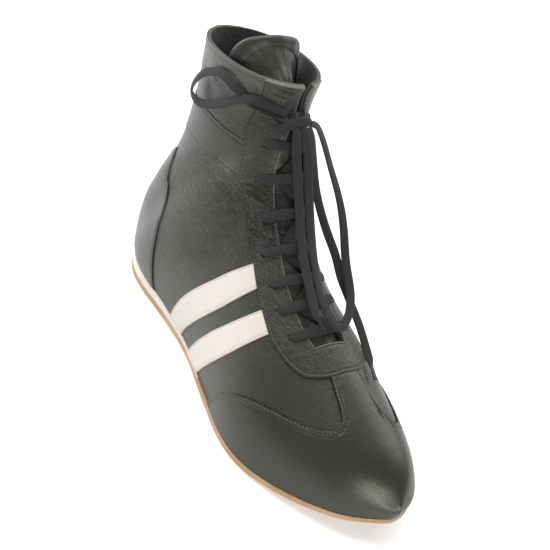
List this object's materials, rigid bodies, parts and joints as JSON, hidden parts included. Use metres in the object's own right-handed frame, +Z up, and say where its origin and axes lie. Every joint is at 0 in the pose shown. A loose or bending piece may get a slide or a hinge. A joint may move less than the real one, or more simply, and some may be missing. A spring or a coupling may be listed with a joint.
{
  "type": "wrestling shoe",
  "caption": "Right-foot high wrestling shoe: black leather upper laced up the throat, free-standing tongue, white side bands, foam heel wedge and thin gum rubber sole.",
  "frame": {"origin": "on the floor under the middle of the heel, on the flat underside of the outsole", "axes": "+X towards the toe, +Y towards the inner side of the foot, +Z up"},
  "size_m": [0.2869, 0.1014, 0.2078],
  "materials": {
    "gum_rubber": "tan gum rubber, matt",
    "white_foam": "off-white foam rubber, matt",
    "insole_cloth": "dark grey cloth over foam",
    "black_leather": "smooth black leather, satin",
    "eyestay_leather": "black leather, satin, creased",
    "vamp_leather": "smooth black leather, satin",
    "counter_leather": "smooth black leather, satin",
    "shaft_leather": "smooth black leather, satin",
    "cuff_leather": "smooth black leather, satin",
    "strap_leather": "smooth black leather, satin",
    "white_leather": "off-white coated leather, slightly soiled",
    "tongue_leather": "soft black leather, padded, wrinkled",
    "lace_cloth": "black woven flat lace"
  },
  "bodies": {
    "root": {"outsole": "gum_rubber", "midsole": "white_foam", "insole": "insole_cloth", "upper": "black_leather", "eyestay": "eyestay_leather", "toe_vamp": "vamp_leather", "heel_counter": "counter_leather", "shaft_band_outer": "shaft_leather", "shaft_band_inner": "shaft_leather", "collar_cuff_outer": "cuff_leather", "collar_cuff_inner": "cuff_leather", "back_strap": "strap_leather", "side_band_rear_outer": "white_leather", "side_band_rear_inner": "white_leather", "side_band_front_outer": "white_leather", "side_band_front_inner": "white_leather", "tongue": "tongue_leather", "lace_crossings": "lace_cloth", "lace_knot": "lace_cloth", "lace_loop_outer": "lace_cloth", "lace_loop_inner": "lace_cloth", "lace_end_centre": "lace_cloth", "lace_end_inner": "lace_cloth"}
  },
  "joints": []
}
